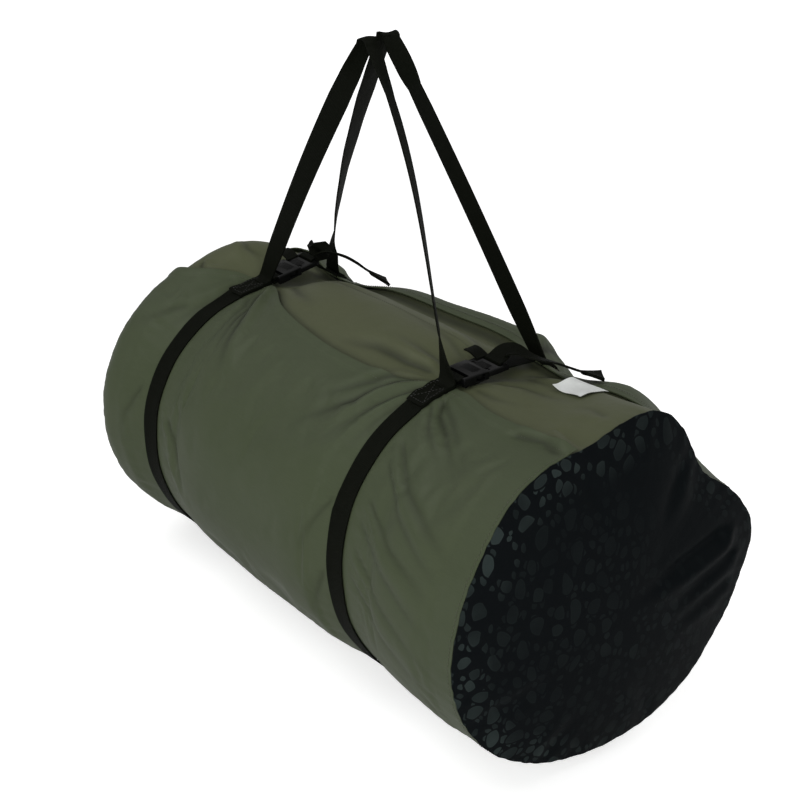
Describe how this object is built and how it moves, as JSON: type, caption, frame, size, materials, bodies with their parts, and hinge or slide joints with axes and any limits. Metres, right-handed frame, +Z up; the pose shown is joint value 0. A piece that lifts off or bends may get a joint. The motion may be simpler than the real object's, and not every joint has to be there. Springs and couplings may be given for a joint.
{
  "type": "rolled self-inflating sleeping mat in carry bag",
  "caption": "Folded and rolled self-inflating mat inside a wrap-around fabric carry bag with girth straps, side-release buckles, long swinging carry handles and screw valves.",
  "frame": {"origin": "on the floor under the flat of the bag, midway between the two girth straps", "axes": "+X along the bag towards its printed end, +Y towards the far side that the buckle plugs pull out to, +Z up"},
  "size_m": [0.8426, 0.4268, 0.7294],
  "materials": {
    "canvas": "smooth olive woven nylon with a soft sheen",
    "print": "black coated fabric with a faint tonal print",
    "webbing": "black ribbed polypropylene webbing",
    "buckle": "moulded black acetal",
    "label": "white satin tape",
    "foam": "open-cell foam",
    "mat_fabric": "coated polyester, bonded to the foam",
    "elastic": "woven elastic",
    "valve_body": "moulded plastic",
    "valve_cap": "moulded plastic"
  },
  "bodies": {
    "bag": {"bag_panel": "canvas", "top_flap": "canvas", "front_end_panel": "print", "back_end_panel": "print", "rear_girth_strap": "webbing", "front_girth_strap": "webbing", "near_handle_rear_end": "webbing", "near_handle_front_end": "webbing", "far_handle_rear_end": "webbing", "far_handle_front_end": "webbing", "rear_socket_tab": "webbing", "front_socket_tab": "webbing", "rear_adjuster": "webbing", "front_adjuster": "webbing", "rear_buckle_socket": "buckle", "front_buckle_socket": "buckle", "care_label": "label", "foam_inner_half": "foam", "foam_outer_half": "foam", "mat_upper_fabric": "mat_fabric", "mat_base_fabric": "mat_fabric", "rear_roll_band": "elastic", "front_roll_band": "elastic", "inner_valve_body": "valve_body", "outer_valve_body": "valve_body"},
    "near_handle": {"near_handle": "webbing"},
    "far_handle": {"far_handle": "webbing"},
    "rear_plug": {"rear_buckle_plug": "buckle"},
    "front_plug": {"front_buckle_plug": "buckle"},
    "rear_back_prong": {"rear_buckle_back_prong": "buckle"},
    "rear_front_prong": {"rear_buckle_front_prong": "buckle"},
    "front_back_prong": {"front_buckle_back_prong": "buckle"},
    "front_front_prong": {"front_buckle_front_prong": "buckle"},
    "inner_cap": {"inner_valve_cap": "valve_cap"},
    "outer_cap": {"outer_valve_cap": "valve_cap"}
  },
  "joints": [
    {"name": "near_handle_swing", "type": "hinge", "parent": "bag", "child": "near_handle", "pos_m": [-0.21107, -0.01358, 0.37225], "axis": [0.9982, -0.0561, 0.0213], "range_deg": [0, 80]},
    {"name": "far_handle_swing", "type": "hinge", "parent": "bag", "child": "far_handle", "pos_m": [-0.20712, 0.08529, 0.36406], "axis": [-0.9991, -0.0005, -0.0428], "range_deg": [0, 110]},
    {"name": "rear_plug_slide", "type": "slide", "parent": "bag", "child": "rear_plug", "axis": [0, 0.9781, 0.2079], "range_m": [0, 0.02], "deforming": ["rear_adjuster"]},
    {"name": "front_plug_slide", "type": "slide", "parent": "bag", "child": "front_plug", "axis": [0, 0.9962, 0.0872], "range_m": [0, 0.02], "deforming": ["front_adjuster"]},
    {"name": "rear_back_prong_squeeze", "type": "hinge", "parent": "rear_plug", "child": "rear_back_prong", "pos_m": [-0.22357, 0.03028, 0.37744], "axis": [0, -0.2079, 0.9781], "range_deg": [0, 8], "stiffness_Nm_per_rad": 0.01},
    {"name": "rear_front_prong_squeeze", "type": "hinge", "parent": "rear_plug", "child": "rear_front_prong", "pos_m": [-0.19857, 0.03028, 0.37744], "axis": [0, 0.2079, -0.9781], "range_deg": [0, 8], "stiffness_Nm_per_rad": 0.01},
    {"name": "front_back_prong_squeeze", "type": "hinge", "parent": "front_plug", "child": "front_back_prong", "pos_m": [0.1889, 0.00807, 0.38182], "axis": [0, -0.0872, 0.9962], "range_deg": [0, 8], "stiffness_Nm_per_rad": 0.01},
    {"name": "front_front_prong_squeeze", "type": "hinge", "parent": "front_plug", "child": "front_front_prong", "pos_m": [0.2139, 0.00807, 0.38182], "axis": [0, 0.0872, -0.9962], "range_deg": [0, 8], "stiffness_Nm_per_rad": 0.01},
    {"name": "inner_cap_turn", "type": "hinge", "parent": "bag", "child": "inner_cap", "pos_m": [0.4053, 0.07695, 0.07608], "axis": [1, 0, 0], "range_deg": [0, 360]},
    {"name": "outer_cap_turn", "type": "hinge", "parent": "bag", "child": "outer_cap", "pos_m": [0.4053, 0.08885, 0.05971], "axis": [1, 0, 0], "range_deg": [0, 360]}
  ],
  "couplings": [
    {"joint": "rear_front_prong_squeeze", "follows": "rear_back_prong_squeeze", "ratio": 1},
    {"joint": "front_front_prong_squeeze", "follows": "front_back_prong_squeeze", "ratio": 1}
  ]
}
